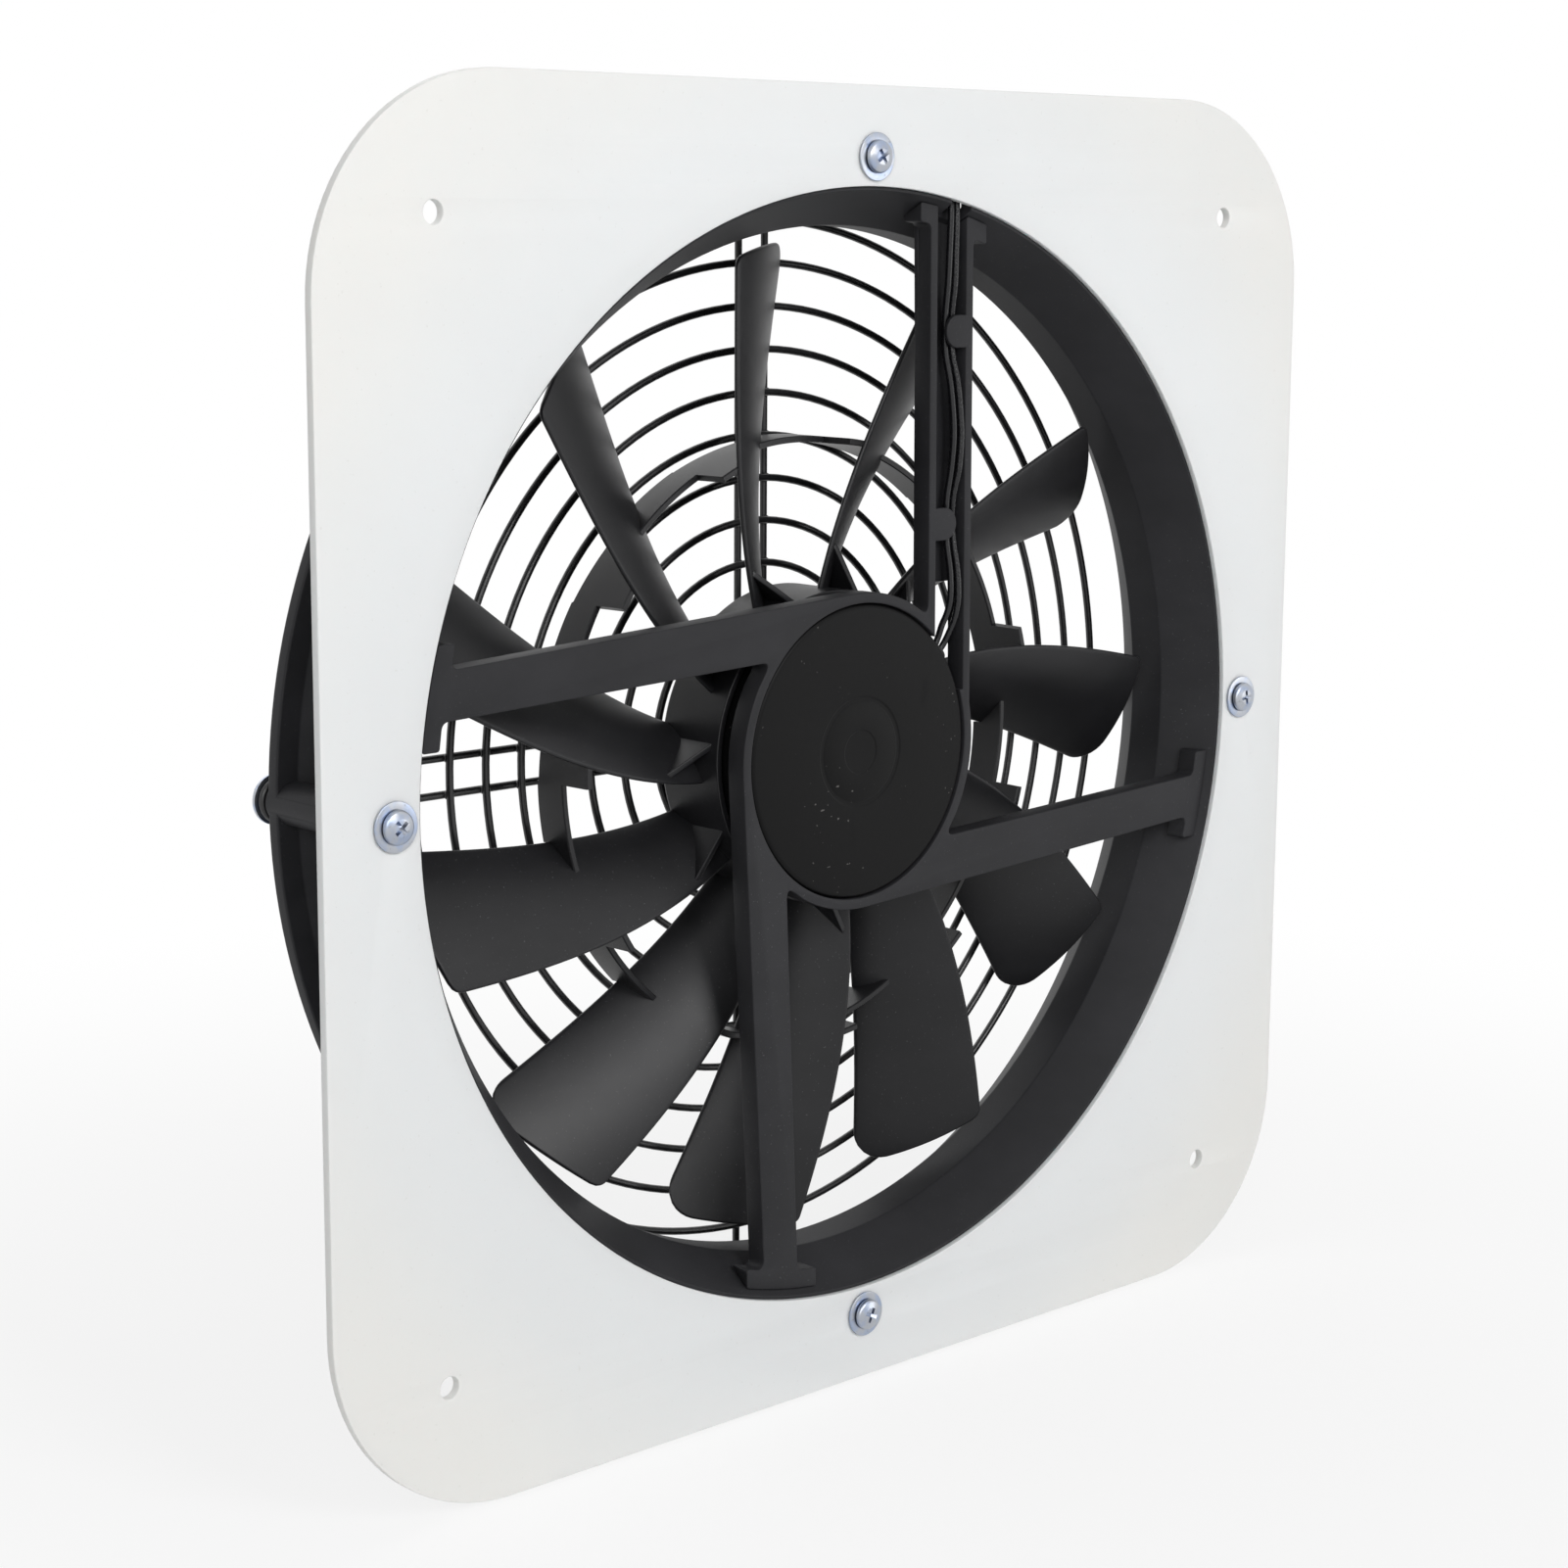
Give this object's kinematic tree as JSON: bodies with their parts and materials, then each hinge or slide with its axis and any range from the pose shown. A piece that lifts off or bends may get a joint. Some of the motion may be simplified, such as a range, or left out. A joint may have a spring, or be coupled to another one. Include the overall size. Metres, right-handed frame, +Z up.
{
  "type": "window exhaust fan",
  "caption": "Axial exhaust fan on a rounded square window plate, with a moulded shroud, spider-mounted motor, bladed rotor and wire guard.",
  "frame": {"origin": "on the fan's axis, at the back face of the window plate", "axes": "+X to the right seen from the room, +Y along the fan's axis towards the outdoors, +Z up"},
  "size_m": [0.4, 0.0649, 0.395],
  "materials": {
    "milky_plastic": "milky white, slightly translucent, satin",
    "black_plastic": "charcoal black with a fine moulded grain",
    "black_steel": "smooth black paint with a few specks",
    "black_wire": "black coated wire, semi-gloss",
    "zinc_steel": "bright zinc plate with a bluish shine",
    "bright_steel": "ground steel",
    "ferrite": "matt grey ferrite",
    "laminated_steel": "stacked laminations",
    "enamel_copper": "enamelled copper wire",
    "copper": "bare copper",
    "carbon": "matt carbon",
    "brown_resin": "brown moulded resin",
    "lead_sheath": "black cable sheath, semi-gloss",
    "soft_rubber": "black rubber",
    "natural_nylon": "off-white nylon"
  },
  "bodies": {
    "fixed": {"mounting_panel": "milky_plastic", "shroud_ring": "black_plastic", "motor_spider": "black_plastic", "rear_guard": "black_wire", "panel_bolt_top": "zinc_steel", "panel_bolt_right": "zinc_steel", "panel_bolt_bottom": "zinc_steel", "panel_bolt_left": "zinc_steel", "front_washer_top": "zinc_steel", "front_washer_right": "zinc_steel", "front_washer_bottom": "zinc_steel", "front_washer_left": "zinc_steel", "guard_washer_top": "zinc_steel", "guard_washer_right": "zinc_steel", "guard_washer_bottom": "zinc_steel", "guard_washer_left": "zinc_steel", "guard_nut_top": "zinc_steel", "guard_nut_right": "zinc_steel", "guard_nut_bottom": "zinc_steel", "guard_nut_left": "zinc_steel", "motor_can": "black_steel", "motor_end_plate": "black_steel", "front_bearing": "bright_steel", "rear_bearing": "bright_steel", "magnet_upper": "ferrite", "magnet_lower": "ferrite", "brush_holder": "brown_resin", "brush_a": "carbon", "brush_b": "carbon", "brush_spring_a": "bright_steel", "brush_spring_b": "bright_steel", "motor_screw_right": "zinc_steel", "motor_screw_bottom": "zinc_steel", "motor_screw_left": "zinc_steel", "lead_wire_a": "lead_sheath", "lead_wire_b": "lead_sheath", "lead_grommet": "soft_rubber", "lead_connector": "natural_nylon"},
    "rotor": {"fan_rotor": "black_plastic", "motor_shaft": "bright_steel", "armature_core": "laminated_steel", "armature_winding": "enamel_copper", "commutator": "copper", "hub_washer": "zinc_steel", "hub_nut": "zinc_steel"}
  },
  "joints": [
    {"name": "rotor_spin", "type": "hinge", "parent": "fixed", "child": "rotor", "pos_m": [0, 0, 0], "axis": [0, 1, 0], "continuous": true}
  ]
}
